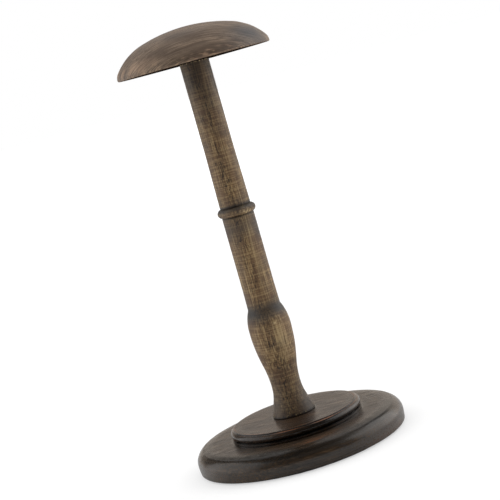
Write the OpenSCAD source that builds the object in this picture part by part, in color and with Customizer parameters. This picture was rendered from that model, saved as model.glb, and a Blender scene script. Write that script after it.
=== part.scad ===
// Turned wooden hat stand: a two-tier round base, a turned column and a domed head.
// Every piece is turned, so each is a profile spun about the Z axis.
// Origin: centre of the underside, on the surface that the stand rests on. +Z is up.

/* [Overall] */
// Height from the table to the crown of the head
stand_h = 340; // [300:5:420]

/* [Base plinth] */
// Diameter of the lower disc at its widest line
plinth_d = 168; // [140:1:220]
// Height of the lower disc
plinth_h = 17.5; // [16:0.5:30]
// Diameter of its flat top, where the rolled edge starts
plinth_top_d = 155.5; // [140:0.5:158]
// How far the rolled edge drops from the flat top to the widest line
plinth_roll = 9.5; // [7:0.5:12]
// Diameter of the disc at its underside
plinth_foot_d = 167; // [162:0.5:168]
// Eased corner round the underside
plinth_ease = 0.8; // [0.4:0.1:2]

/* [Base step] */
// Diameter of the upper disc at its widest line
step_d = 105.8; // [90:0.2:130]
// Height of the upper disc
step_h = 9; // [8:0.5:14]
// Width of the rounded moulding outside its flat top
step_moulding = 3.1; // [2.6:0.1:3.4]
// Drop from the flat top to the moulding
step_quirk = 0.8; // [0.4:0.1:1.2]
// Height of the square fillet that the moulding stands on
step_fillet_h = 2.2; // [1.6:0.1:2.6]
// How far the fillet stands in from the widest line
step_fillet_in = 0.5; // [0.2:0.1:1]

/* [Column] */
// Diameter of the foot
foot_d = 34; // [30:0.5:44]
// Height of the straight rim round the foot
foot_rim_h = 0.9; // [0.6:0.1:2]
// Diameter of the waist, the thinnest place above the foot
waist_d = 23.3; // [21:0.1:27]
// Height of the waist above the foot
waist_at = 24.2; // [20:0.2:30]
// Radius of the hollow that flares from the waist to the foot
flare_r = 38; // [30:1:44]
// Diameter of the vase-shaped swelling
belly_d = 33.6; // [30:0.2:38]
// Height of its widest line above the foot
belly_at = 71; // [64:1:80]
// Share of the curve from waist to widest line that swells, the rest being hollow
belly_share = 0.62; // [0.5:0.02:0.7]
// Radius of the round shoulder over the widest line
shoulder_r = 40; // [30:1:60]
// Diameter of the shaft where it meets the shoulder
shaft_foot_d = 26; // [24:0.2:28]
// Diameter of the shaft from above the shoulder to the bead
shaft_low_d = 25.5; // [23:0.1:28]
// Height over which the shaft spreads to the shoulder
shaft_spread_h = 16; // [8:1:30]
// Height of the bead's middle above the foot
bead_at = 166.3; // [140:1:180]
// Diameter of the bead
bead_d = 30.4; // [29:0.2:34]
// Radius of the bead's round outline
bead_r = 3.6; // [3:0.1:4]
// Radius of the fine cut on either side of the bead
quirk_r = 0.45; // [0.2:0.05:0.8]
// Diameter of the shaft just above the bead
shaft_mid_d = 24.4; // [22:0.1:27]
// Diameter of the shaft under the head
shaft_top_d = 23.1; // [21:0.1:26]
// Height over which the shaft narrows above the bead
shaft_taper_h = 48; // [20:1:80]

/* [Head] */
// Diameter of the domed head
head_d = 120.5; // [112:0.5:126]
// Height of the head
head_h = 27.6; // [25:0.2:30]
// Radius of the dome's wide crown
crown_r = 121; // [110:1:140]
// Radius of the haunch beside the crown
haunch_r = 46; // [38:1:52]
// Radius of the cheek that turns upright at the rim
cheek_r = 8.4; // [6:0.2:11]
// Rounding of the rim's lower corner
rim_r = 1; // [0.5:0.1:2]

/* [Joints] */
// Radial clearance of pegs and screws in their holes
fit_gap = 0.05; // [0.02:0.01:0.15]
// Space left for glue at the end of a peg
glue_gap = 0.8; // [0.4:0.1:1]
// Diameter of the dowel between column and head
dowel_d = 10; // [8:1:12]
// Length of that dowel
dowel_l = 40; // [30:1:60]
// Length of the dowel inside the head
dowel_in_head = 16; // [10:1:17]
// Chamfer on both ends of the dowel
dowel_chamfer = 1; // [0.5:0.1:2]
// Diameter of the peg turned on the column's foot
spigot_d = 18; // [14:1:20]
// Depth of that peg in the lower disc
spigot_in_plinth = 4; // [2:0.5:5]
// Diameter of the wood screw
screw_d = 5; // [4:0.5:6]
// Length of the screw under its head
screw_l = 50; // [40:5:60]
// Length of the screw's pointed end
screw_point_l = 6; // [4:0.5:9]
// Diameter of the screw's round head
screw_head_d = 10; // [9:0.5:12]
// Height of the screw's head
screw_head_h = 3.4; // [3:0.1:3.8]
// Diameter of the washer
washer_d = 20; // [16:1:24]
// Thickness of the washer
washer_t = 1.5; // [1:0.1:2]
// Clearance round the washer
washer_gap = 0.8; // [0.5:0.1:1]
// Depth of the recess that hides washer and screw head
recess_h = 6; // [6:0.5:7]

/* [Felt pad] */
// Diameter of the felt disc
pad_d = 160; // [130:1:160]
// Thickness of the felt disc
pad_t = 1; // [1:0.1:3]

/* [Hidden] */
$fn = 96;
// How far a cut runs past the face that it opens
over = 1;

// Levels, from the table up
plinth_z = pad_t;
step_z = plinth_z + plinth_h;
foot_z = step_z + step_h;
head_z = stand_h - head_h;
column_h = head_z - foot_z;

// Pegs, holes and screw
spigot_l = step_h + spigot_in_plinth;
spigot_z = foot_z - spigot_l;
dowel_z = head_z + dowel_in_head - dowel_l;
recess_z = plinth_z + recess_h;
screw_z = recess_z - washer_t;

// Radii of the profiles
plinth_rad = plinth_d / 2;
step_rad = step_d / 2;
step_top_rad = step_rad - step_moulding;
foot_rad = foot_d / 2;
waist_rad = waist_d / 2;
belly_rad = belly_d / 2;
head_rad = head_d / 2;

// Radius of the arc that starts upright and moves in by run over a height of rise
function arc_over(run, rise) = (run * run + rise * rise) / (2 * run);

// Height above its centre at which an arc that starts upright has moved in by run
function rise_of(radius, run) = sqrt(radius * radius - pow(radius - run, 2));

// Centre that lies away_a from centre a and away_b from centre b, to the left of the line a-b
function between(a, away_a, b, away_b) =
    let (span = norm(b - a), ahead = (b - a) / span)
    let (along = (span * span + away_a * away_a - away_b * away_b) / (2 * span))
    a + ahead * along + [-ahead[1], ahead[0]] * sqrt(away_a * away_a - along * along);

// Part of a profile between two heights, from the axis out to a reach
module band(low, high, reach) {
    translate([0, low])
        square([reach, high - low]);
}

// Swelling stretch, from the axis out to an arc round centre
module swell(low, high, centre, arc) {
    intersection() {
        band(low, high, centre[0] + arc + over);
        union() {
            translate(centre)
                circle(arc);
            if (centre[0] > 0)
                band(low, high, centre[0]);
        }
    }
}

// Hollow stretch, from the axis out to an arc whose narrowest point is (rad, at)
module hollow(low, high, rad, at, arc) {
    difference() {
        band(low, high, rad + arc);
        translate([rad + arc, at])
            circle(arc);
    }
}

// Straight stretch from one radius to another
module taper(low, high, low_rad, high_rad) {
    polygon([[0, low], [low_rad, low], [high_rad, high], [0, high]]);
}

// Round hole along Z that gives a piece of diameter d its clearance
module bore(low, high, d) {
    translate([0, 0, low])
        cylinder(h = high - low, d = d + 2 * fit_gap);
}

// Lower disc: a bowed side under a rolled edge that meets the flat top in a soft line
module plinth_profile() {
    widest = plinth_h - plinth_roll;
    foot_in = (plinth_d - plinth_foot_d) / 2;
    roll_in = (plinth_d - plinth_top_d) / 2;
    ease_rad = plinth_foot_d / 2;
    side_arc = arc_over(foot_in, widest - plinth_ease);
    roll_arc = arc_over(roll_in, plinth_roll);
    taper(0, plinth_ease, ease_rad - plinth_ease, ease_rad);
    swell(plinth_ease, widest, [plinth_rad - side_arc, widest], side_arc);
    swell(widest, plinth_h, [plinth_rad - roll_arc, widest], roll_arc);
}

module base_plinth() {
    color("#41382f")
        difference() {
            translate([0, 0, plinth_z])
                rotate_extrude()
                    plinth_profile();
            bore(plinth_z - over, recess_z, washer_d + 2 * washer_gap);
            bore(plinth_z, step_z, screw_d);
            bore(spigot_z - glue_gap, step_z + over, spigot_d);
        }
}

// Upper disc: a flat top, a fine drop, a round moulding and a square fillet below it
module step_profile() {
    band(0, step_h, step_top_rad);
    band(0, step_fillet_h, step_rad - step_fillet_in);
    translate([step_top_rad, step_h - step_quirk - step_moulding])
        circle(step_moulding);
}

module base_step() {
    color("#483c33")
        translate([0, 0, step_z])
            difference() {
                rotate_extrude()
                    step_profile();
                bore(-over, step_h + over, spigot_d);
            }
}

// Flare of the column's foot: a straight skirt that touches the hollow under the waist
module flare_profile() {
    centre = [waist_rad + flare_r, waist_at];
    out = centre[0] - foot_rad;
    up = centre[1] - foot_rim_h;
    skirt_angle = atan2(up, out) - acos(flare_r / norm([out, up]));
    touch = [centre[0] - flare_r * cos(skirt_angle), centre[1] - flare_r * sin(skirt_angle)];
    band(0, foot_rim_h, foot_rad);
    taper(foot_rim_h, touch[1], foot_rad, touch[0]);
    hollow(touch[1], waist_at, waist_rad, waist_at, flare_r);
}

// Vase between waist and shoulder: a hollow and a swelling that flow into each other
module vase_profile() {
    rise = belly_at - waist_at;
    turn = 2 * atan2(belly_rad - waist_rad, rise);
    arcs = rise / sin(turn);
    belly_arc = arcs * belly_share;
    waist_arc = arcs - belly_arc;
    change_at = waist_at + waist_arc * sin(turn);
    hollow(waist_at, change_at, waist_rad, waist_at, waist_arc);
    swell(change_at, belly_at, [belly_rad - belly_arc, belly_at], belly_arc);
}

// Shoulder, two shafts and the bead between them
module shaft_profile() {
    shoulder_at = belly_at + rise_of(shoulder_r, belly_rad - shaft_foot_d / 2);
    low_top = shoulder_at + shaft_spread_h;
    swell(belly_at, shoulder_at, [belly_rad - shoulder_r, belly_at], shoulder_r);
    taper(shoulder_at, low_top, shaft_foot_d / 2, shaft_low_d / 2);
    taper(low_top, bead_at, shaft_low_d / 2, shaft_low_d / 2);
    taper(bead_at, bead_at + shaft_taper_h, shaft_mid_d / 2, shaft_top_d / 2);
    taper(bead_at + shaft_taper_h, column_h, shaft_top_d / 2, shaft_top_d / 2);
}

module bead_profile() {
    translate([bead_d / 2 - bead_r, bead_at])
        circle(bead_r);
}

// Fine cut round the corner where a shaft of radius rad meets the bead
module bead_quirk(rad, side) {
    translate([rad, bead_at + side * rise_of(bead_r, bead_d / 2 - rad)])
        circle(quirk_r);
}

module column() {
    color("#6b5b48")
        translate([0, 0, foot_z])
            difference() {
                union() {
                    rotate_extrude()
                        difference() {
                            union() {
                                flare_profile();
                                vase_profile();
                                shaft_profile();
                                bead_profile();
                            }
                            bead_quirk(shaft_mid_d / 2, 1);
                            bead_quirk(shaft_low_d / 2, -1);
                        }
                    translate([0, 0, -spigot_l])
                        cylinder(h = spigot_l + over, d = spigot_d);
                }
                bore(-spigot_l - over, screw_z + screw_l + glue_gap - foot_z, screw_d);
                bore(dowel_z - glue_gap - foot_z, column_h + over, dowel_d);
            }
}

// Dome: a wide crown flows into the haunch and the cheek, over a small rim and a flat underside
module head_profile() {
    crown = [0, head_h - crown_r];
    cheek = [head_rad - cheek_r, rim_r];
    haunch = between(crown, crown_r - haunch_r, cheek, haunch_r - cheek_r);
    crown_end = crown + (haunch - crown) * crown_r / (crown_r - haunch_r);
    haunch_end = haunch + (cheek - haunch) * haunch_r / (haunch_r - cheek_r);
    swell(crown_end[1], head_h + over, crown, crown_r);
    swell(haunch_end[1], crown_end[1], haunch, haunch_r);
    swell(rim_r, haunch_end[1], cheek, cheek_r);
    swell(0, rim_r, [head_rad - rim_r, rim_r], rim_r);
}

module head() {
    color("#5d5249")
        translate([0, 0, head_z])
            difference() {
                rotate_extrude()
                    head_profile();
                bore(-over, dowel_in_head + glue_gap, dowel_d);
            }
}

// Beech dowel glued into the column and the head, with chamfered ends
module head_dowel() {
    rad = dowel_d / 2;
    end_rad = rad - dowel_chamfer;
    high = dowel_l - dowel_chamfer;
    color("#c9a878")
        translate([0, 0, dowel_z])
            rotate_extrude() {
                taper(0, dowel_chamfer, end_rad, rad);
                band(dowel_chamfer, high, rad);
                taper(high, dowel_l, rad, end_rad);
            }
}

// Round-head wood screw, driven up through the base into the column
module base_screw() {
    head_arc = arc_over(screw_head_h, screw_head_d / 2);
    point_at = screw_l - screw_point_l;
    color("#b9bcc0")
        translate([0, 0, screw_z])
            rotate_extrude() {
                swell(-screw_head_h, 0, [0, head_arc - screw_head_h], head_arc);
                band(0, point_at, screw_d / 2);
                taper(point_at, screw_l, screw_d / 2, 0);
            }
}

module base_washer() {
    color("#a9acb0")
        translate([0, 0, screw_z])
            difference() {
                cylinder(h = washer_t, d = washer_d);
                bore(-over, washer_t + over, screw_d);
            }
}

// Felt disc glued under the base; it covers the screw's recess
module felt_pad() {
    color("#23211f")
        cylinder(h = pad_t, d = pad_d);
}

felt_pad();
base_plinth();
base_step();
base_washer();
base_screw();
column();
head_dowel();
head();
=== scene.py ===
import bpy
import numpy as np
from mathutils import Matrix


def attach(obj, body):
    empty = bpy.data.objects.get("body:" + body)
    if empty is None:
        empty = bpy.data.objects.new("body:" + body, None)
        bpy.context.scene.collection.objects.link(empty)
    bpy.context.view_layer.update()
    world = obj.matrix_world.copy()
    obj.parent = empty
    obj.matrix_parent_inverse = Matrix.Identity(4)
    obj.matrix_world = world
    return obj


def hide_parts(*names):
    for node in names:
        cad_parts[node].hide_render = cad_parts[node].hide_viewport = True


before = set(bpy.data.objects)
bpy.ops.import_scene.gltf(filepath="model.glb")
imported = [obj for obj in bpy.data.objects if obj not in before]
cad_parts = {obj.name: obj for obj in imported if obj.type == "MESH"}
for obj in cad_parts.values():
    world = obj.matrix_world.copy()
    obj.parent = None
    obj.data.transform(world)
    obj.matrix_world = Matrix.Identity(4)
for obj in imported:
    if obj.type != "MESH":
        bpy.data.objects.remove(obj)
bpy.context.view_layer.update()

# ---------------------------------------------------------------- Base plinth
# The lower disc, sawn from a mango-wood board whose grain runs across the stand, then faced on a
# lathe. Its upper edge is rolled over, its side is slightly bowed, and a recess underneath holds
# the screw's head. Stain wiped round it has left soft streaks, and the roll is rubbed thin.
# Painted shade darkens the ring round the step, the foot, the roll, the top's edge and the front
# of the side, and painted sheen lightens the side and the roll at the front right.
PLINTH_LOW, PLINTH_TOP, WIDEST = 1.0, 18.5, 9.0       # heights, the last that of the widest place
PLINTH_R, BOW_R, ROLL_R = 84.0, 52.09, 10.345         # radii of the disc, its side and its roll
RECESS_R, RECESS_ROOF, SCREW_HOLE_R = 10.85, 7.0, 2.55
PEG_HOLE_R, PEG_HOLE_FLOOR = 9.05, 13.7
BESIDE_STEP, SIDE = 54.0, 80.0                        # radii where the bare top and the side begin


def arc(centre, radius, start, end):
    """Points of a circle's arc about every 0.1 mm: centre plus radius times (cos, sin) of an
    angle that goes evenly from start to end, in degrees up from the outward direction."""
    count = max(int(radius * abs(np.radians(end - start)) / 0.1), 3)
    angle = np.radians(np.linspace(start, end, count))
    return np.c_[centre[0] + radius * np.cos(angle), centre[1] + radius * np.sin(angle)]


def eased(parts, ease, count, spacing):
    """An outline of count points with its corners eased. The parts are walked in 0.05 mm steps
    and averaged over a bell ease mm wide. The points kept are those at equal shares of the
    distance over spacing plus the turn over 8 degrees, so they crowd where the outline bends."""
    points = np.vstack([np.atleast_2d(part) for part in parts]).astype(float)
    ring = np.allclose(points[0], points[-1])
    gap = np.hypot(*np.diff(points, axis=0).T)
    points = points[np.r_[True, gap > 1e-6]]
    length = np.r_[0, np.cumsum(np.hypot(*np.diff(points, axis=0).T))]
    stride = 0.05
    walk = np.linspace(0, length[-1], int(length[-1] / stride))
    fine = np.c_[np.interp(walk, length, points[:, 0]), np.interp(walk, length, points[:, 1])]
    half = int(3 * ease / stride)
    bell = np.exp(-0.5 * (np.arange(-half, half + 1) * stride / ease) ** 2)
    bell /= bell.sum()
    if ring:
        padded = np.r_[fine[-half - 1:-1], fine, fine[1:half + 1]]
    else:
        padded = np.r_[2 * fine[0] - fine[half:0:-1], fine, 2 * fine[-1] - fine[-2:-half - 2:-1]]
    smooth = np.stack([np.convolve(side, bell, "valid") for side in padded.T], 1)
    move = np.diff(smooth, axis=0)
    turn = np.abs(np.diff(np.unwrap(np.arctan2(move[:, 1], move[:, 0]))))
    cost = np.hypot(move[:, 0], move[:, 1]) / spacing + np.r_[turn, 0] / np.radians(8)
    cost = np.r_[0, np.cumsum(cost)]
    keep = np.linspace(0, cost[-1], count)
    return np.c_[np.interp(keep, cost, smooth[:, 0]), np.interp(keep, cost, smooth[:, 1])]


def waves(seed, angle, run, turns, pitch):
    """Smooth unevenness, mostly between -1 and 1: a sum of 16 cosines, each with a whole number
    of up to turns waves round the axis, a wavelength of pitch mm or more along run, and a random
    start."""
    rng = np.random.default_rng(seed)
    cosines, total = 16, 0.0
    for _ in range(cosines):
        around = rng.integers(-turns, turns + 1)
        along = rng.uniform(-1, 1) * 2 * np.pi / pitch
        total = total + np.cos(around * angle + along * run + rng.uniform(0, 2 * np.pi))
    return total / np.sqrt(2 * cosines)


def near(value, place, width):
    """1 at place, falling to 0 as a bell whose half width is about width."""
    return np.exp(-((value - place) / width) ** 2)


def facing(angle, place, width):
    """1 in the direction place, falling to 0 on both sides as a bell whose half width is about
    width, in radians: the bell of the straight distance between the two directions."""
    return np.exp(-2 * (1 - np.cos(angle - place)) / width ** 2)


def turned(name, outline, around, dent=None, marks=None):
    """A turned surface: point (i, j) lies on the outline's point j, at the angle of i parts in
    around. dent(angle, radius, height) says how far, in mm, it sinks (never rises) from there,
    and marks holds rules of the same kind for named values from 0 to 1. An outline that ends on
    the axis closes there in single points, and any other closes on itself."""
    ring = np.allclose(outline[0], outline[-1])
    line = outline[:-1] if ring else outline
    before, after = np.roll(line, 1, 0), np.roll(line, -1, 0)
    if not ring:
        before[0], after[-1] = line[0], line[-1]
    side = after - before
    normal = np.c_[side[:, 1], -side[:, 0]] / np.hypot(*side.T)[:, None]
    body = slice(None) if ring else slice(1, -1)
    angle = (np.arange(around) * 2 * np.pi / around)[:, None] - np.pi / 2
    radius = line[None, body, 0] + 0 * angle
    height = line[None, body, 1] + 0 * angle
    depth = np.maximum(dent(angle, radius, height), 0) if dent else 0 * radius
    r = radius - depth * normal[None, body, 0]
    z = height - depth * normal[None, body, 1]
    points = np.stack([r * np.cos(angle), r * np.sin(angle), z], -1).reshape(-1, 3)
    n = radius.shape[1]
    i = np.arange(around)[:, None]
    j = np.arange(n if ring else n - 1)[None]
    i2, j2 = (i + 1) % around, (j + 1) % n
    faces = np.stack([i * n + j, i2 * n + j, i2 * n + j2, i * n + j2], -1).reshape(-1, 4).tolist()
    if not ring:
        low, high = len(points), len(points) + 1
        points = np.vstack([points, [0, 0, line[0, 1]], [0, 0, line[-1, 1]]])
        first, second = i.ravel() * n, i2.ravel() * n
        faces += np.c_[second, first, first * 0 + low].tolist()
        faces += np.c_[first + n - 1, second + n - 1, first * 0 + high].tolist()
    mesh = bpy.data.meshes.new(name)
    mesh.from_pydata(points / 1000, [], faces)
    mesh.polygons.foreach_set("use_smooth", np.ones(len(mesh.polygons), bool))
    for mark, rule in (marks or {}).items():
        shade = np.zeros(len(points), np.float32)
        shade[:radius.size] = np.clip(rule(angle, radius, height) + 0 * radius, 0, 1).ravel()
        if not ring:
            shade[low], shade[high] = shade[0], shade[n - 1]
        mesh.attributes.new(mark, "FLOAT", "POINT").data.foreach_set("value", shade)
    piece = bpy.data.objects.new(name, mesh)
    bpy.context.scene.collection.objects.link(piece)
    return piece


def linear(code):
    """An sRGB hex colour as linear red, green, blue and a full alpha: a small part is divided by
    12.92, and any other goes through the 2.4 power."""
    part = np.array([int(code[k:k + 2], 16) for k in (1, 3, 5)]) / 255
    return (*np.where(part <= 0.04045, part / 12.92, ((part + 0.055) / 1.055) ** 2.4), 1.0)


def add(tree, kind, inputs=None, stops=None, out=0, **settings):
    """Adds a node, with its settings, its inputs (values, or sockets to be joined) and a ramp's
    stops as (place, colour) pairs, and returns its output out, a number or a name. A map range's
    inputs 1 to 4 are the range it reads and the range it gives. A mix's input 0 is the share of
    the second of its two values, which are its inputs 2 and 3, or of its colours, 6 and 7."""
    node = tree.nodes.new(kind)
    for key, value in settings.items():
        setattr(node, key, value)
    for key, value in (inputs or {}).items():
        if isinstance(value, bpy.types.NodeSocket):
            tree.links.new(value, node.inputs[key])
        else:
            node.inputs[key].default_value = value
    for k, (place, colour) in enumerate(stops or []):
        ramp = node.color_ramp.elements
        stop = ramp[k] if k < 2 else ramp.new(place)
        stop.position, stop.color = place, colour
    return node.outputs[out]


def stained_wood(name, streak, pore, cloud, tilt, tones, marks, roughness, relief, tool=None):
    """Dark-stained, waxed mango wood. streak, pore and cloud are the sizes in mm, along the board
    that tilt turns (in degrees), of its growth streaks, its open pores and its uneven stain.
    tones are the streaks' colours from dark to light, and marks those of pores, clouds, thick
    stain and painted shade, greyed wax and painted sheen, and worn places and painted highlights.
    Dark streaks are a little rougher than roughness says, and thick stain, which has pooled smooth,
    is shinier, as is the painted shade that shares its mark. relief is the height of the texture
    in mm, and tool the size and the strength of the fine lines that a turning tool leaves."""
    material = bpy.data.materials.new(name)
    material.use_nodes = True
    tree = material.node_tree
    tree.nodes.clear()
    place = add(tree, "ShaderNodeTexCoord", out="Object")
    patterns = [(streak, tilt, 5), (pore, tilt, 1), (cloud, tilt, 3)]
    if tool:
        patterns.append((tool[0], (0, 0, 0), 1))
    noises = []
    for size, turned_by, detail in patterns:
        at = add(tree, "ShaderNodeMapping",
                 {0: place, 2: np.radians(turned_by).tolist(), 3: [mm / 1000 for mm in size]},
                 vector_type="TEXTURE")
        noises.append(add(tree, "ShaderNodeTexNoise",
                          {"Vector": at, "Scale": 1.0, "Detail": detail}))
    streaks, pits, blots = noises[:3]
    # Of these marks, the stain also carries painted shade, the grey painted sheen and the worn
    # painted highlights, where a piece's rules put them.
    open_share, stain_and_painted_shade_share, grey_wax_and_painted_sheen_share, wear_and_painted_highlight_share = (
        add(tree, "ShaderNodeAttribute", attribute_name=mark, out="Fac")
        for mark in ("open", "stain", "grey", "worn"))
    pore_colour, cloud_colour, stain_and_painted_shade_colour, grey_wax_and_painted_sheen_colour, wear_and_painted_highlight_colour = marks

    # The streaks' colours, with what lies over them from the lowest layer to the highest.
    steps = [(0.34 + 0.32 * k / (len(tones) - 1), linear(tone)) for k, tone in enumerate(tones)]
    colour = add(tree, "ShaderNodeValToRGB", {0: streaks}, steps)
    clouds = add(tree, "ShaderNodeMapRange", {0: blots, 1: 0.42, 2: 0.64, 4: 0.8})
    layers = [(clouds, cloud_colour)]
    height = streaks
    if tool:
        pale = add(tree, "ShaderNodeMapRange", {0: noises[3], 1: 0.52, 2: 0.57, 4: tool[1]})
        deep = add(tree, "ShaderNodeMapRange", {0: noises[3], 1: 0.47, 2: 0.42, 4: tool[1]})
        layers += [(pale, tones[-1]), (deep, cloud_colour)]
        height = add(tree, "ShaderNodeMath", {0: noises[3], 1: 1.5, 2: height},
                     operation="MULTIPLY_ADD")
    pores = add(tree, "ShaderNodeMapRange", {0: pits, 1: 0.46, 2: 0.41})
    pores = add(tree, "ShaderNodeMath", {0: pores, 1: open_share}, operation="MULTIPLY")
    # Worn places, and painted highlights where the worn mark puts them.
    worn = add(tree, "ShaderNodeMath", {0: wear_and_painted_highlight_share, 1: streaks}, operation="MULTIPLY")
    worn = add(tree, "ShaderNodeMapRange", {0: worn, 1: 0.08, 2: 0.5})
    layers += [(pores, pore_colour), (grey_wax_and_painted_sheen_share, grey_wax_and_painted_sheen_colour), (stain_and_painted_shade_share, stain_and_painted_shade_colour),
               (worn, wear_and_painted_highlight_colour)]
    for share, over in layers:
        colour = add(tree, "ShaderNodeMix", {0: share, 6: colour, 7: linear(over)}, out=2,
                     data_type="RGBA")
    height = add(tree, "ShaderNodeMath", {0: height, 1: pores}, operation="SUBTRACT")
    rough = add(tree, "ShaderNodeMapRange",
                {0: streaks, 1: 0.3, 2: 0.7, 3: roughness + 0.12, 4: roughness - 0.08})
    rough = add(tree, "ShaderNodeMath", {0: stain_and_painted_shade_share, 1: -0.14, 2: rough},
                operation="MULTIPLY_ADD")
    bump = add(tree, "ShaderNodeBump", {"Distance": relief / 1000, "Height": height})
    skin = add(tree, "ShaderNodeBsdfPrincipled",
               {"Base Color": colour, "Roughness": rough, "IOR": 1.44, "Normal": bump})
    tree.links.new(skin, tree.nodes.new("ShaderNodeOutputMaterial").inputs[0])
    return material


def plinth_dents(a, r, z):
    """Depth of the plinth's unevenness: waves of 0.05 mm beside the step, and the top's edge,
    which falls away to 0.6 mm at the roll as the square of the distance past 68 mm."""
    uneven = (r > BESIDE_STEP) * (z > 2) * 0.05 * (1 + waves(1, a, r - z, 40, 9))
    return uneven + 0.6 * np.clip((r - 68) / 9, 0, 1) ** 2 * np.clip((z - 9) / 9, 0, 1)


def plinth_open(a, r, z):
    """Open pores: a few everywhere, and most of them beside the step at the right."""
    return 0.25 + 0.75 * facing(a, 0.35, 0.45) * near(r, 66, 9)


def plinth_stain_and_painted_shade(a, r, z):
    """Thick stain and painted shade: the sum of painted shade in a ring round the step, in a line
    at the foot, on the roll, on the front and on the top's edge, most of all at both ends, and
    thick stain in a curved scratch at the right and in soft streaks."""
    # Painted shade: the ring, the foot, the roll, the front, the edge and the ends; the scratch and
    # the streaks are real stain.
    ring = 0.85 * near(r, 53.2, 1.3) * (z > 18)
    foot = 0.5 * near(z, PLINTH_LOW, 0.8)
    roll = 0.25 + 0.6 * facing(a, -1.58, 0.4) + 0.25 * waves(2, a, r, 9, 20)
    roll = roll * near(r, 81.2, 2.2) * (z > 12)
    front = 0.3 * near(z, 8, 4) * facing(a, -1.5, 0.5) * (r > SIDE)
    edge = (0.5 + 0.2 * waves(7, a, r, 3, 30)) * near(r, 75.5, 4.5) * (z > 14)
    ends = (0.9 * facing(a, -2.2, 0.55) + 0.9 * facing(a, -0.5, 0.45)) * near(r, 74.5, 5) * (z > 17)
    curve = 61 + 12 * np.abs(a - 0.3) + 0.8 * waves(8, a, 0, 60, 1)
    scratch = facing(a, 0.3, 0.2) * near(r, curve, 0.7) * (z > 18)
    streak = (r > BESIDE_STEP) * np.clip(0.3 * waves(3, a, 2 * (r - z), 5, 4), 0, 0.6)
    return ring + foot + roll + front + edge + ends + scratch + streak


def plinth_grey_wax_and_painted_sheen(a, r, z):
    """Greyed wax in faint clouds, and painted sheen on the side, the roll and the top's edge at the
    front right.
    """
    clouds = (r > BESIDE_STEP) * np.clip(0.05 + 0.4 * waves(4, a, r - z, 5, 5), 0, 0.6)
    # Painted sheen, grey, on the side and the roll at the front right.
    side = 0.8 * near(z, 4, 5) * facing(a, -0.7, 0.5) + 0.6 * near(z, 15, 2) * facing(a, -1.15, 0.3)
    edge = 0.8 * near(z, 16.7, 2) * facing(a, -0.85, 0.35) * (r > 77.5)
    return clouds + side * (r > SIDE) + edge


def plinth_wear_and_painted_sheen(a, r, z):
    """Worn places: patches on the top in front of the step, one brown streak among them, and the
    lower side in patches at the front; and painted sheen, even, on the lower side at the right."""
    patches = facing(a, -1.4, 0.5) * near(r, 66, 8) * np.clip(waves(5, a, r, 20, 3), 0, 0.7)
    streak = 0.5 * facing(a, -1.45, 0.18) * near(r, 67, 5) * (z > 16)
    streak = streak * (0.7 + 0.4 * waves(38, a, r, 20, 3))
    foot = (0.3 + 0.5 * facing(a, -1.7, 0.4)) * near(z, 4, 3) * np.clip(waves(6, a, z, 14, 9), 0, 1)
    # Painted sheen: the lower side at the front right is lighter.
    right = 0.3 * near(z, 4, 5) * facing(a, -0.65, 0.45)
    return patches + streak + (foot + right) * (r > SIDE)


plinth_line = eased([
    (SCREW_HOLE_R, RECESS_ROOF), (RECESS_R, RECESS_ROOF), (RECESS_R, PLINTH_LOW),
    (82.7, PLINTH_LOW), (83.5, PLINTH_LOW + 0.8),
    arc((PLINTH_R - BOW_R, WIDEST), BOW_R, -7.95, 0),
    arc((PLINTH_R - ROLL_R, WIDEST), ROLL_R, 0, 66.7),
    (77.75, PLINTH_TOP), (PEG_HOLE_R, PLINTH_TOP), (PEG_HOLE_R, PEG_HOLE_FLOOR),
    (SCREW_HOLE_R, PEG_HOLE_FLOOR), (SCREW_HOLE_R, RECESS_ROOF),
], ease=0.3, count=280, spacing=1.0)
plinth = turned(
    "plinth_disc", plinth_line, around=350, dent=plinth_dents,
    marks={"open": plinth_open, "stain": plinth_stain_and_painted_shade, "grey": plinth_grey_wax_and_painted_sheen, "worn": plinth_wear_and_painted_sheen})
# The stain colour also paints the plinth's shade, and the grey and the worn colours its sheen at
# the front right.
plinth.data.materials.append(stained_wood(
    "Mango_wood_plinth_stained_and_waxed",
    streak=(26, 1.1, 1.1), pore=(6, 0.7, 0.7), cloud=(40, 16, 12), tilt=(0, 4, 5),
    tones=("#1d150e", "#32271b", "#453628", "#5d4a36"),
    marks=("#110c09", "#2a1f18", "#0d0a07", "#46403a", "#6e4a33"), roughness=0.3, relief=0.035))
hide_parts("base_plinth")
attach(plinth, "root")

# ---------------------------------------------------------------- Base step
# The upper disc, turned from the same board: a flat top, a fine quirk, a round moulding and a
# square fillet below it. It is glued to the plinth. Painted shade with thick stain darkens the
# quirk, painted shade the fillet's two corners, and stain sits thick on the moulding, with
# painted shade deepest at its front. The top's edge beside the quirk is worn to a reddish brown,
# and a painted highlight runs along the fillet's top.
STEP_TOP, STEP_TOP_R = 27.5, 49.8                # the flat top's height and its radius
FILLET_R, FILLET_TOP = 52.4, 20.7
MOULDING_R, MOULDING_MIDDLE = 3.1, 23.6          # its radius and the height of its middle


def step_dents(a, r, z):
    """Depth of the step's unevenness: waves of 0.04 mm on its outer edge."""
    return (r > 46) * (z > 19.5) * 0.04 * (1 + waves(11, a, z * 2 + r, 34, 6))


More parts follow.
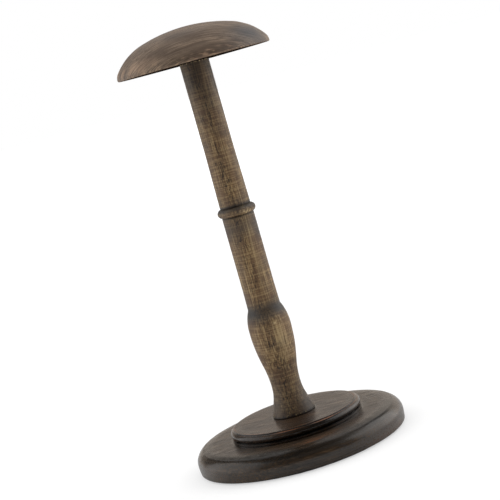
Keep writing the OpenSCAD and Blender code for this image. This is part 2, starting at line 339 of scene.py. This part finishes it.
def step_stain_and_painted_shade(a, r, z):
    """Thick stain and painted shade: the sum of painted shade with thick stain in the quirk, a dark
    ring round the column, painted shade in the fillet's two corners, thick stain on the top's edge,
    and on the moulding thick stain with painted shade, deepest at the front."""
    # Painted shade: the quirk, the fillet's corners and the moulding's front; the rest is thick
    # stain.
    quirk = near(r, 49.9, 0.5) * near(z, 26.9, 0.7)
    ring = 0.8 * near(r, 17.4, 1.0)
    corners = near(z, 20.4, 0.5) * (r > 50) + 0.9 * near(z, 18.7, 0.5)
    edge = 0.4 * near(r, 46, 3) * (z > 27)
    moulding = 0.35 + 0.5 * facing(a, -1.2, 0.5) + 0.15 * waves(13, a, z, 7, 4)
    return quirk + ring + corners + edge + (r > 50.2) * (z > 19.5) * moulding


def step_wear_and_painted_highlight(a, r, z):
    """Worn places and a painted highlight: the sum of the top's rim and the moulding's crest, worn,
    and a painted highlight here and there along the moulding's lower edge, on the fillet's top."""
    rim = near(r, 48.9, 0.7) * (z > 27) * (0.6 + 0.4 * waves(15, a, r, 9, 9))
    crest = (0.4 + facing(a, -1.3, 0.9)) * near(r, 50.8, 0.7) * (z > 25)
    crest = crest * np.clip(0.7 + 0.5 * waves(16, a, z, 9, 9), 0, 1)
    # Painted highlight: a light line along the fillet's top.
    under = 0.5 * near(z, 20.8, 0.3) * (r > 51) * np.clip(waves(17, a, z, 20, 9), 0, 1)
    return rim + crest + under


step_line = eased([
    (PEG_HOLE_R, PLINTH_TOP), (FILLET_R, PLINTH_TOP), (FILLET_R, FILLET_TOP), (52.5, FILLET_TOP),
    arc((STEP_TOP_R, MOULDING_MIDDLE), MOULDING_R, -70, 90),
    (STEP_TOP_R, STEP_TOP), (PEG_HOLE_R, STEP_TOP), (PEG_HOLE_R, PLINTH_TOP),
], ease=0.15, count=230, spacing=0.8)
step = turned(
    "step_disc", step_line, around=320, dent=step_dents,
    marks={
        "open": lambda a, r, z: 0.3 + 0.2 * waves(12, a, r, 9, 9),
        "stain": step_stain_and_painted_shade,
        "grey": lambda a, r, z: (r > 50) * np.clip(0.2 * waves(14, a, z, 9, 5), 0, 0.5),
        "worn": step_wear_and_painted_highlight,
    })
# The stain colour also paints the shade in the quirk, the corners and the moulding's front, and the
# worn colour the highlight on the fillet's top.
step.data.materials.append(stained_wood(
    "Mango_wood_step_stained_and_waxed",
    streak=(24, 1.1, 1.1), pore=(6, 0.7, 0.7), cloud=(30, 12, 10), tilt=(0, 3, -8),
    tones=("#1b120b", "#2e2116", "#402f21", "#58422f"),
    marks=("#110c09", "#281c16", "#0c0907", "#322d2b", "#6e472f"), roughness=0.28, relief=0.04))
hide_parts("base_step")
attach(step, "root")

# ---------------------------------------------------------------- Column
# One length of mango wood turned between centres: a flared foot, a vase, a shoulder, a shaft and
# a bead between two fine cuts. A peg below goes into the base. The stain has been rubbed back, so
# the tool's lines show pale and the pores dark, and it stays grey at the shoulder and the bead.
FOOT = STEP_TOP                                       # where the column stands
WAIST, BELLY, SHOULDER, BEAD, NECK = 24.2, 71.0, 88.024, 166.3, 284.9     # heights above its foot
FOOT_R, WAIST_R, BELLY_R, SHOULDER_R, SHAFT_R, NECK_R = 17.0, 11.65, 16.8, 13.0, 12.75, 11.55
LIP, FLARE_R, CROWN_R = 0.9, 38.0, 40.0               # the foot's rim, its flare, the vase's top
BEAD_MIDDLE_R, BEAD_R, CUT = 11.6, 3.6, 0.45          # the bead, and the height of its fine cuts
LOW_CUT_R, HIGH_CUT_R, ABOVE_BEAD_R = 12.3, 11.75, 12.2
BEAD_SHORT = 6                                        # degrees from its arc's ends to the cuts
SHOULDER_SLOPE, BEAD_SLOPE = 16, 48                   # how far above each of them the shaft thins
# The peg, the end of the screw's hole above the foot, and the hole for the dowel at the top.
PEG_R, PEG_LENGTH, PILOT_END, DOWEL_HOLE_R, DOWEL_HOLE_DEPTH = 9.0, 13.0, 28.8, 5.05, 24.8

# Where the arcs touch. The waist's and the belly's arcs share the distance between their middles
# as 38 to 62, and the flare's arc starts at the lip.
bend = 2 * np.arctan2(BELLY_R - WAIST_R, BELLY - WAIST)
reach = (BELLY - WAIST) / np.sin(bend)
swell, hollow = 0.62 * reach, 0.38 * reach
lean = np.degrees(bend)
out, up = WAIST_R + FLARE_R - FOOT_R, WAIST - LIP
skirt = np.degrees(np.arctan2(up, out) - np.arccos(FLARE_R / np.hypot(out, up)))
top_of_vase = np.degrees(np.arccos((SHOULDER_R - BELLY_R + CROWN_R) / CROWN_R))
low_corner = np.arccos((SHAFT_R - BEAD_MIDDLE_R) / BEAD_R)
high_corner = np.arccos((ABOVE_BEAD_R - BEAD_MIDDLE_R) / BEAD_R)
bead_low, bead_high = BEAD - BEAD_R * np.sin(low_corner), BEAD + BEAD_R * np.sin(high_corner)
column_line = eased([
    (0, PILOT_END), (SCREW_HOLE_R, PILOT_END), (SCREW_HOLE_R, -PEG_LENGTH), (PEG_R, -PEG_LENGTH),
    (PEG_R, 0), (FOOT_R, 0), (FOOT_R, LIP),
    arc((WAIST_R + FLARE_R, WAIST), FLARE_R, 180 + skirt, 180),
    arc((WAIST_R + hollow, WAIST), hollow, 180, 180 - lean),
    arc((BELLY_R - swell, BELLY), swell, -lean, 0),
    arc((BELLY_R - CROWN_R, BELLY), CROWN_R, 0, top_of_vase),
    (SHAFT_R, SHOULDER + SHOULDER_SLOPE), (SHAFT_R, bead_low - CUT), (LOW_CUT_R, bead_low),
    arc((BEAD_MIDDLE_R, BEAD), BEAD_R,
        BEAD_SHORT - np.degrees(low_corner), np.degrees(high_corner) - BEAD_SHORT),
    (HIGH_CUT_R, bead_high), (ABOVE_BEAD_R, bead_high + CUT),
    (NECK_R, BEAD + BEAD_SLOPE), (NECK_R, NECK),
    (DOWEL_HOLE_R, NECK), (DOWEL_HOLE_R, NECK - DOWEL_HOLE_DEPTH), (0, NECK - DOWEL_HOLE_DEPTH),
], ease=0.2, count=560, spacing=0.8) + [0, FOOT]
column_line[[0, -1], 0] = 0


def column_dents(a, r, z):
    """Depth of the column's unevenness: a slight waviness everywhere outside, chips round the
    rim of the foot, and a few nicks on the bead."""
    outside = (r > 9.5) * (z > FOOT + 0.05) * (z < FOOT + NECK - 0.1)
    chips = np.clip(waves(21, a, z, 30, 9) - 0.35, 0, 1) * near(z, FOOT + 0.2, 0.9)
    nicks = near(z, FOOT + BEAD, 3) * np.clip(waves(23, a, z, 22, 3) - 0.7, 0, 1)
    return outside * (0.03 * (1 + waves(22, a, z, 12, 5)) + 1.1 * chips + 0.25 * nicks)


def column_open(a, r, z):
    """Open pores: a few everywhere, and most in two lines up the front and the right and at the
    foot's front."""
    lines = 0.45 * facing(a, -1.66, 0.3) + 0.4 * facing(a, -0.4, 0.15)
    foot = 0.5 * near(z, FOOT + 22, 16) * facing(a, -1.6, 0.6)
    return np.clip(0.3 + lines + foot + 0.4 * waves(24, a, z, 12, 12), 0, 1)


def column_stain_and_painted_shade(a, r, z):
    """Thick stain and painted shade: the sum of thick stain with painted shade in the two cuts
    beside the bead, and thick stain on the neck under the head, the shoulder, the foot's right,
    a faint line up the front, the foot and an uneven line round its rim."""
    up = z - FOOT
    # The cuts hold thick stain and painted shade together.
    cuts = 0.9 * near(up, BEAD + 4.3, 1.3) + 0.85 * near(up, BEAD - 4.2, 0.8)
    neck = (0.5 + 0.25 * facing(a, -1.5, 0.5)) * near(up, NECK, 34)
    neck = neck * (1 + 0.4 * waves(25, a, z, 4, 20))
    shoulder = 0.4 * near(up, SHOULDER - 1, 4.5)
    right = 0.35 * near(up, 6, 14) * facing(a, -0.5, 0.6)
    front = 0.1 * facing(a, -1.62, 0.3) * near(up, 205, 75)
    rim = near(up, 0.3, 0.8 + 1.3 * np.clip(waves(31, a, z, 30, 9), 0, 1))
    return cuts + neck + shoulder + right + front + 0.5 * near(up, 0, 26) + rim


def column_grey(a, r, z):
    """Greyed wax: the sum of the shoulder, the bead and what lies below and above it, the foot,
    the neck, all that faces away from the front, except the vase, and faint clouds."""
    up = z - FOOT
    shoulder = 0.85 * near(up, SHOULDER - 2.5, 6.5) * (1 + 0.3 * waves(26, a, z, 5, 9))
    bead = 0.6 * near(up, BEAD + 2.6, 1.8) + 0.15 * near(up, BEAD, 3)
    beside = 0.5 * near(up, BEAD - 13, 9) + 0.15 * near(up, BEAD + 8, 4)
    neck = 0.2 * near(up, NECK, 60) * (1 + 0.5 * waves(27, a, z, 5, 18))
    back = 0.3 * (1 - facing(a, -1.5, 0.9)) * (1 - 0.7 * near(up, 60, 24))
    clouds = np.clip(0.15 * waves(28, a, z, 4, 18), 0, 0.3)
    return shoulder + bead + beside + 0.12 * near(up, 8, 22) + neck + back + clouds


def column_worn(a, r, z):
    """Worn places: the sum of the shaft's front right and the vase, but not the shoulder, spots on
    the bead, on the foot's rim and at the neck's top, and one nick on the vase."""
    up = z - FOOT
    rubbed = 0.3 * facing(a, -1.15, 0.4) * near(up, 120, 90) + 0.16 * near(up, 58, 20)
    rubbed = rubbed * (1 - near(up, SHOULDER - 1, 7))
    spots = waves(29, a, z, 30, 5) - 0.45 + 0.4 * facing(a, -0.9, 0.4)
    bead = near(up, BEAD - 1.6, 1.6) * np.clip(spots, 0, 0.6)
    rim = near(up, 1.8, 0.8) * np.clip(1.5 * waves(37, a, z, 40, 3) - 0.7, 0, 1)
    nick = 2 * near(up, 75.5, 0.5) * facing(a, -1.3, 0.04)
    neck = near(up, NECK, 0.6) * np.clip(0.3 + waves(30, a, z, 40, 9), 0, 1)
    return rubbed + bead + rim + nick + neck


column = turned(
    "turned_column", column_line, around=168, dent=column_dents,
    marks={"open": column_open, "stain": column_stain_and_painted_shade, "grey": column_grey, "worn": column_worn})
# The tool's lines are about 0.65 mm apart, wider than real ones, so that they show.
# The stain colour also paints the shade in the cuts beside the bead.
column.data.materials.append(stained_wood(
    "Mango_wood_column_stained_and_rubbed_back",
    streak=(0.9, 0.9, 26), pore=(0.7, 0.7, 4), cloud=(9, 9, 30), tilt=(0, 0, 0),
    tones=("#4b3924", "#725738", "#8f724a", "#b09569"),
    marks=("#2b1e12", "#634730", "#20160d", "#413d39", "#cdb588"), roughness=0.58, relief=0.08,
    tool=((20, 20, 0.65), 0.38)))
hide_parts("column")
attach(column, "root")

# ---------------------------------------------------------------- Washer
# A plain zinc-plated steel washer, stamped from strip and tumbled, which has taken the sharpness
# off its edges. It spreads the screw's pull over the roof of the recess in the plinth.
WASHER_R, WASHER_LOW = 10.0, 5.5
washer_line = eased([
    (SCREW_HOLE_R, WASHER_LOW), (WASHER_R, WASHER_LOW), (WASHER_R, RECESS_ROOF),
    (SCREW_HOLE_R, RECESS_ROOF), (SCREW_HOLE_R, WASHER_LOW),
], ease=0.12, count=60, spacing=0.8)
washer = turned("steel_washer", washer_line, around=96,
                dent=lambda a, r, z: 0.02 * (1 + waves(41, a, r + z, 12, 3)))
zinc = bpy.data.materials.new("Zinc_plated_steel")
zinc.use_nodes = True
tree = zinc.node_tree
tree.nodes.clear()
place = add(tree, "ShaderNodeTexCoord", out="Object")
# Bright bluish plating over cold-formed steel: cloudy on a scale of 3 mm, and scratched
# on one of 0.4 mm.
clouds = add(tree, "ShaderNodeTexNoise", {"Vector": place, "Scale": 330.0, "Detail": 4.0})
plating = add(tree, "ShaderNodeValToRGB", {0: clouds},
              [(0.35, linear("#8d9196")), (0.65, linear("#b9bdc1"))])
rough = add(tree, "ShaderNodeMapRange", {0: clouds, 1: 0.3, 2: 0.7, 3: 0.24, 4: 0.42})
scratches = add(tree, "ShaderNodeTexNoise", {"Vector": place, "Scale": 2500.0, "Detail": 2.0})
bump = add(tree, "ShaderNodeBump", {"Distance": 0.00001, "Height": scratches})
metal = add(tree, "ShaderNodeBsdfPrincipled",
            {"Base Color": plating, "Metallic": 1.0, "Roughness": rough, "Normal": bump})
tree.links.new(metal, tree.nodes.new("ShaderNodeOutputMaterial").inputs[0])
washer.data.materials.append(zinc)
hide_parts("base_washer")
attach(washer, "root")

# ---------------------------------------------------------------- Screw
# A round-head wood screw of the same plated steel, cold-headed with a cross recess and rolled
# with a 2.2 mm thread. It is driven up through the washer and the base into the column's peg.
SCREW_LOW, TAPER, TIP = 2.1, 49.5, 55.5               # heights where it starts, tapers and ends
SCREW_R, SCREW_HEAD_R, CAP_R = 2.5, 5.0, 5.376        # radii of its shank, head and round cap
THREAD_LOW, THREAD_PITCH = 20.0, 2.2
screw_line = eased([
    arc((0, SCREW_LOW + CAP_R), CAP_R, -90, -21.6),
    (SCREW_HEAD_R, WASHER_LOW), (SCREW_R, WASHER_LOW), (SCREW_R, THREAD_LOW), (SCREW_R, TAPER),
    (0, TIP),
], ease=0.08, count=420, spacing=0.25)
screw_line[[0, -1], 0] = 0


def screw_dents(a, r, z):
    """Depth of the cross recess, two slots about 1 mm wide at half their depth, and of the thread,
    a valley that climbs 2.2 mm for each turn and fades out towards the head."""
    across = np.minimum(np.abs(r * np.cos(a)), np.abs(r * np.sin(a)))
    recess = 1.6 * near(across, 0, 0.8) ** 2 * (z < 4.6) * near(r, 0, 3.2)
    thread = 0.35 * (1 - np.cos(2 * np.pi * z / THREAD_PITCH - a)) * np.clip(r / SCREW_R, 0, 1)
    return recess + thread * (z > THREAD_LOW) * np.clip((z - THREAD_LOW) / 2, 0, 1)


screw = turned("wood_screw", screw_line, around=64, dent=screw_dents)
screw.data.materials.append(zinc)
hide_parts("base_screw")
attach(screw, "root")

# ---------------------------------------------------------------- Felt pad
# A disc of pressed wool felt, 1 mm thick, punched out and glued under the plinth. It keeps the
# table from scratches and hides the screw. Its face and its cut edge are slightly uneven.
PAD_R = 80.0
felt_line = eased([(0, 0), (PAD_R, 0), (PAD_R, PLINTH_LOW), (0, PLINTH_LOW)],
                  ease=0.18, count=170, spacing=1.6)
felt_line[[0, -1], 0] = 0
pad = turned(
    "felt_disc", felt_line, around=300,
    dent=lambda a, r, z: (z < 0.97) * 0.06 * (1 + waves(51, a, r + z, 60, 3)) * (r > 0.5))
felt = bpy.data.materials.new("Pressed_wool_felt_dark")
felt.use_nodes = True
tree = felt.node_tree
tree.nodes.clear()
place = add(tree, "ShaderNodeTexCoord", out="Object")
# Matted fibres, drawn about 0.3 mm wide so that they show, in charcoal wool with a few pale ones.
fibres = []
for turned_by, size in ((0.4, (3, 0.3, 1)), (1.9, (2.4, 0.3, 1)), (-0.7, (2.7, 0.3, 1))):
    at = add(tree, "ShaderNodeMapping",
             {0: place, 2: (0, 0, turned_by), 3: [mm / 1000 for mm in size]},
             vector_type="TEXTURE")
    fibres.append(add(tree, "ShaderNodeTexNoise", {"Vector": at, "Scale": 1.0, "Detail": 3.0}))
nap = add(tree, "ShaderNodeMath", {0: fibres[0], 1: fibres[1]}, operation="MAXIMUM")
nap = add(tree, "ShaderNodeMath", {0: nap, 1: fibres[2]}, operation="MAXIMUM")
wool = add(tree, "ShaderNodeValToRGB", {0: nap},
           [(0.42, linear("#171615")), (0.6, linear("#2c2a29")), (0.74, linear("#54514e"))])
bump = add(tree, "ShaderNodeBump", {"Distance": 0.0002, "Height": nap})
cloth = add(tree, "ShaderNodeBsdfPrincipled",
            {"Base Color": wool, "Roughness": 0.95, "Sheen Weight": 0.4, "Sheen Roughness": 0.5,
             "Normal": bump})
tree.links.new(cloth, tree.nodes.new("ShaderNodeOutputMaterial").inputs[0])
pad.data.materials.append(felt)
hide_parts("felt_pad")
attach(pad, "root")

# ---------------------------------------------------------------- Dowel
# A beech dowel, 10 mm by 40 mm, glued into the column's top and the head. It is drawn through a
# fluted die, so that 18 fine grooves let the air and the glue out, and its ends are chamfered.
DOWEL_R, DOWEL_LOW, DOWEL_TOP, CHAMFER, FLUTES = 5.0, 288.4, 328.4, 1.0, 18
dowel_line = eased([
    (0, DOWEL_LOW), (DOWEL_R - CHAMFER, DOWEL_LOW), (DOWEL_R, DOWEL_LOW + CHAMFER),
    (DOWEL_R, DOWEL_TOP - CHAMFER), (DOWEL_R - CHAMFER, DOWEL_TOP), (0, DOWEL_TOP),
], ease=0.1, count=64, spacing=1.4)
dowel_line[[0, -1], 0] = 0
dowel = turned("beech_dowel", dowel_line, around=180,
               dent=lambda a, r, z: 0.3 * (r > 4.5) * np.clip(np.cos(FLUTES * a) - 0.2, 0, 1))
beech = bpy.data.materials.new("Beech_planed")
beech.use_nodes = True
tree = beech.node_tree
tree.nodes.clear()
place = add(tree, "ShaderNodeTexCoord", out="Object")
# Straight pale grain along the dowel, with the short dark rays, 2 mm long, that mark out beech.
at = add(tree, "ShaderNodeMapping", {0: place, 3: (0.001, 0.001, 0.03)}, vector_type="TEXTURE")
grain = add(tree, "ShaderNodeTexNoise", {"Vector": at, "Scale": 1.0, "Detail": 4.0})
planed = add(tree, "ShaderNodeValToRGB", {0: grain},
             [(0.35, linear("#b58d60")), (0.65, linear("#d8b98c"))])
at = add(tree, "ShaderNodeMapping", {0: place, 3: (0.0003, 0.0003, 0.002)}, vector_type="TEXTURE")
flecks = add(tree, "ShaderNodeTexNoise", {"Vector": at, "Scale": 1.0, "Detail": 0.0})
flecks = add(tree, "ShaderNodeMapRange", {0: flecks, 1: 0.36, 2: 0.28, 4: 0.7})
planed = add(tree, "ShaderNodeMix", {0: flecks, 6: planed, 7: linear("#8a6138")}, out=2,
             data_type="RGBA")
bump = add(tree, "ShaderNodeBump", {"Distance": 0.00005, "Height": grain})
wood = add(tree, "ShaderNodeBsdfPrincipled",
           {"Base Color": planed, "Roughness": 0.62, "Normal": bump})
tree.links.new(wood, tree.nodes.new("ShaderNodeOutputMaterial").inputs[0])
dowel.data.materials.append(beech)
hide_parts("head_dowel")
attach(dowel, "root")

# ---------------------------------------------------------------- Head
# The domed head, turned from a board with its grain running across, so the growth lines climb
# over the dome as arches. Its underside is flat, with a blind hole for the dowel, and is painted
# nearly black as the shade under the head, and its rim is worn to paler wood. A soft patch at
# the upper left is darkened as painted shade.
HEAD_LOW, HOLE_ROOF = FOOT + NECK, 329.2
RIM_R, RIM_MIDDLE_R = 1.0, 59.25
CHEEK_R, HAUNCH_R, DOME_R = 8.4, 46.0, 121.0          # the cheek, the haunch and the wide crown
CHEEK_END, HAUNCH_END = 37.0, 73.07                   # degrees where the first two arcs end
# Each arc's middle is placed so that the arc runs into the next one without a corner.
head_line = eased([
    (0, HOLE_ROOF), (DOWEL_HOLE_R, HOLE_ROOF), (DOWEL_HOLE_R, HEAD_LOW), (RIM_MIDDLE_R, HEAD_LOW),
    arc((RIM_MIDDLE_R, HEAD_LOW + RIM_R), RIM_R, -90, 0),
    arc((51.85, HEAD_LOW + RIM_R), CHEEK_R, 0, CHEEK_END),
    arc((21.84, 290.75), HAUNCH_R, CHEEK_END, HAUNCH_END),
    arc((0, 219), DOME_R, HAUNCH_END, 90),
], ease=0.2, count=330, spacing=0.9)
head_line[[0, -1], 0] = 0


def head_stain_and_painted_shade(a, r, z):
    """Thick stain and painted shade: the sum of thick stain on the front of the rim, painted shade
    in a soft patch 36 mm wide at the upper left, and painted shade on the underside, deepest
    towards its middle."""
    # Painted shade: the patch at the upper left and the underside; the rim's front is thick stain.
    patch = near(np.hypot(r * np.cos(a) + 30, r * np.sin(a) + 4), 0, 18) * (z > 320)
    under = (z < 312.5) * np.clip((56 - r) / 12, 0, 0.9)
    return 0.3 * facing(a, -1.5, 0.5) * near(z, 315, 3) + 0.35 * patch + under


def head_grey(a, r, z):
    """Greyed wax: a patch at the front right of the cheek, and faint clouds."""
    patch = 0.8 * facing(a, -0.6, 0.4) * near(r, 55, 9)
    return (z > 312.7) * (patch + np.clip(0.2 * waves(33, a, r, 4, 22) - 0.05, 0, 0.5))


def head_worn(a, r, z):
    """Worn places: the sum of the cheek's left end, its front in two soft bands, and spots on the
    rim and just above it, most of them in front."""
    left = 0.4 * near(z, 317, 5) * facing(a, np.pi + 0.2, 0.7)
    left = left * np.clip(0.4 + waves(34, a, z, 30, 9), 0, 1)
    bands = 0.25 * (facing(a, -2.3, 0.5) + 0.8 * facing(a, -1.2, 0.35)) * near(z, 320, 7)
    rim = 0.4 * near(z, 313.1, 0.5) * np.clip(waves(35, a, z, 80, 9) + facing(a, -1.3, 0.4), 0, 1)
    spots = 0.5 * near(z, 315.5, 2.5) * facing(a, -1.3, 0.6)
    return left + bands + rim + spots * np.clip(waves(36, a, z, 80, 2) - 0.1, 0, 1)


dome = turned(
    "domed_head", head_line, around=280,
    dent=lambda a, r, z: (z > 312.5) * (r > 6) * 0.05 * (1 + waves(31, a, r, 24, 8)),
    marks={
        "open": lambda a, r, z: (z > 312.6) * np.clip(0.45 + 0.3 * waves(32, a, r, 6, 16), 0, 1),
        "stain": head_stain_and_painted_shade, "grey": head_grey, "worn": head_worn,
    })
# The stain colour also paints the shade at the upper left and on the underside.
dome.data.materials.append(stained_wood(
    "Mango_wood_head_stained_and_waxed",
    streak=(26, 0.5, 7), pore=(5, 0.5, 1.4), cloud=(44, 14, 26), tilt=(42, 0, 3),
    tones=("#58483c", "#736050", "#8e7963", "#a78d73"),
    marks=("#38291e", "#614f40", "#1d1510", "#4c4d50", "#c29f80"), roughness=0.62, relief=0.04))
# The underside is left unwaxed and matt, so it has no gloss at all. Its dark tones, and the
# stain mark that deepens them towards the middle, are painted shade under the head.
under = stained_wood(
    "Mango_wood_underside_with_painted_shade",
    streak=(24, 1, 6), pore=(4, 0.6, 1.2), cloud=(34, 14, 14), tilt=(42, 0, 3),
    tones=("#3a2c20", "#47372a", "#544334", "#64513f"),
    marks=("#221912", "#3c2f24", "#17110d", "#3a3430", "#6a5038"), roughness=0.9, relief=0.05)
under.node_tree.nodes["Principled BSDF"].inputs["Specular IOR Level"].default_value = 0
dome.data.materials.append(under)
middle = np.empty(3 * len(dome.data.polygons))
dome.data.polygons.foreach_get("center", middle)
is_under = middle[2::3] < (HEAD_LOW + 0.05) / 1000
dome.data.polygons.foreach_set("material_index", is_under.astype(np.int32))
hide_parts("head")
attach(dome, "root")

# ---------------------------------------------------------------- Floor, lamps and camera
# A pale seamless floor under soft lamps on both sides, as in a product studio. To the camera the
# floor and the room beyond it are white: near the stand the lamps' light and a glow add up to
# about 1, and the glow grows further away, where the lamps don't reach. The paper is darker to
# the camera than to the light that it throws back, which leaves room for the glow.
FLOOR_REACH = 30.0                                    # metres from the stand to each side
floor_mesh = bpy.data.meshes.new("floor")
floor_mesh.from_pydata([(x * FLOOR_REACH, y * FLOOR_REACH, 0)
                        for x, y in ((-1, -1), (1, -1), (1, 1), (-1, 1))], [], [(0, 1, 2, 3)])
floor = bpy.data.objects.new("floor", floor_mesh)
bpy.context.scene.collection.objects.link(floor)
paper = bpy.data.materials.new("White_paper_floor")
paper.use_nodes = True
tree = paper.node_tree
tree.nodes.clear()
camera_ray = add(tree, "ShaderNodeLightPath", out="Is Camera Ray")
place = add(tree, "ShaderNodeTexCoord", out="Object")
far = add(tree, "ShaderNodeVectorMath", {0: place}, out="Value", operation="LENGTH")
level = add(tree, "ShaderNodeMapRange", {0: far, 1: 0.9, 2: 2.4, 3: 0.52, 4: 0.88})
seen = add(tree, "ShaderNodeMath", {0: camera_ray, 1: level}, operation="MULTIPLY")
glow = add(tree, "ShaderNodeEmission", {"Color": (1, 1, 1, 1), "Strength": seen})
pale = add(tree, "ShaderNodeMapRange", {0: camera_ray, 3: 0.79, 4: 0.48})
matt = add(tree, "ShaderNodeBsdfDiffuse", {"Color": pale})
both = add(tree, "ShaderNodeAddShader", {0: glow, 1: matt})
tree.links.new(both, tree.nodes.new("ShaderNodeOutputMaterial").inputs[0])
floor_mesh.materials.append(paper)

# The room gives a soft light from above and behind. In reflections it is dimmer, with a pale
# panel on both sides behind the stand, and all of it lies low, lower on the left than on the
# right, as the waxed tops mirror it. A ray's heading times one of the four ways below says how
# far the ray goes that way.
world = bpy.data.worlds.new("studio")
bpy.context.scene.world = world
world.use_nodes = True
tree = world.node_tree
tree.nodes.clear()
camera_ray = add(tree, "ShaderNodeLightPath", out="Is Camera Ray")
glossy_ray = add(tree, "ShaderNodeLightPath", out="Is Glossy Ray")
heading = add(tree, "ShaderNodeTexCoord", out="Generated")
above, left_panel, right_panel, height = (
    add(tree, "ShaderNodeVectorMath", {0: heading, 1: way}, out="Value", operation="DOT_PRODUCT")
    for way in ((0, 0.6, 0.8), (-0.7, 0.7, 0.1), (0.7, 0.7, 0.1), (-0.4, 0, 1)))
room = add(tree, "ShaderNodeMapRange", {0: above, 1: -0.3, 2: 0.9, 3: 0.05, 4: 1.0})
gloss = add(tree, "ShaderNodeMapRange", {0: above, 1: -0.3, 2: 0.5, 3: 0.03, 4: 0.62})
panel = add(tree, "ShaderNodeMath", {0: left_panel, 1: right_panel}, operation="MAXIMUM")
panel = add(tree, "ShaderNodeMapRange", {0: panel, 1: 0.6, 2: 1.0, 4: 0.4})
gloss = add(tree, "ShaderNodeMath", {0: gloss, 1: panel}, operation="ADD")
low = add(tree, "ShaderNodeMapRange", {0: height, 1: 0.26, 2: 0.42, 3: 1.0, 4: 0.15})
gloss = add(tree, "ShaderNodeMath", {0: gloss, 1: low}, operation="MULTIPLY")
level = add(tree, "ShaderNodeMix", {0: glossy_ray, 2: room, 3: gloss})
level = add(tree, "ShaderNodeMath", {0: camera_ray, 1: level}, operation="MAXIMUM")
tint = add(tree, "ShaderNodeMix", {0: glossy_ray, 6: linear("#ffffff"), 7: linear("#fff2e4")},
           out=2, data_type="RGBA")
sky = add(tree, "ShaderNodeBackground", {"Color": tint, "Strength": level})
tree.links.new(sky, tree.nodes.new("ShaderNodeOutputWorld").inputs[0])

# Three soft lamps, each a square panel that faces the middle of the stand: its name, where it
# stands, its width, in metres, and its power in watts.
AIM = (0, 0, 0.17)
for name, spot, width, power in (("left_softbox", (-1.25, 0.05, 0.5), 1.8, 13.0),
                                 ("right_softbox", (1.25, 0.15, 0.5), 1.8, 15.5),
                                 ("back_softbox", (0.0, 0.9, 1.3), 1.4, 4.0)):
    lamp = bpy.data.lights.new(name, "AREA")
    lamp.energy, lamp.size = power, width
    lamp_object = bpy.data.objects.new(name, lamp)
    bpy.context.scene.collection.objects.link(lamp_object)
    back = np.array(spot) - AIM
    back = back / np.linalg.norm(back)
    across = np.cross((0, 0, 1), back)
    across = across / np.linalg.norm(across)
    stance = np.eye(4)
    stance[:3] = np.stack([across, np.cross(back, across), back, spot], 1)
    lamp_object.matrix_world = Matrix(stance.tolist())

# The camera looks slightly down from the front and is rolled, so that the stand leans. Its place
# is in metres, its angles in degrees, and its focal length and sideways shift in pixels of a
# frame that is 500 pixels wide.
DISTANCE, EYE, YAW, PITCH, ROLL = 1.1648, 0.2970, 3.029, 7.486, 15.564
FRAME, FOCUS, OFFSET, SENSOR = 500, 1504.3, 80, 36
yaw, pitch, roll = np.radians((YAW, PITCH, ROLL))
ahead = np.array([np.sin(yaw) * np.cos(pitch), np.cos(yaw) * np.cos(pitch), -np.sin(pitch)])
right = np.array([np.cos(yaw), -np.sin(yaw), 0])
down = np.cross(ahead, right)
pose = np.eye(4)
pose[:3, 0] = np.cos(roll) * right + np.sin(roll) * down
pose[:3, 1] = np.sin(roll) * right - np.cos(roll) * down
pose[:3, 2] = -ahead
pose[:3, 3] = (0, -DISTANCE, EYE)
lens = bpy.data.cameras.new("camera")
lens.sensor_width = SENSOR
lens.lens = FOCUS / FRAME * SENSOR
lens.shift_x = -OFFSET / FRAME
lens.clip_end = 100
camera = bpy.data.objects.new("camera", lens)
camera.matrix_world = Matrix(pose.tolist())
bpy.context.scene.collection.objects.link(camera)
bpy.context.scene.camera = camera
bpy.context.scene.view_settings.view_transform = "Standard"
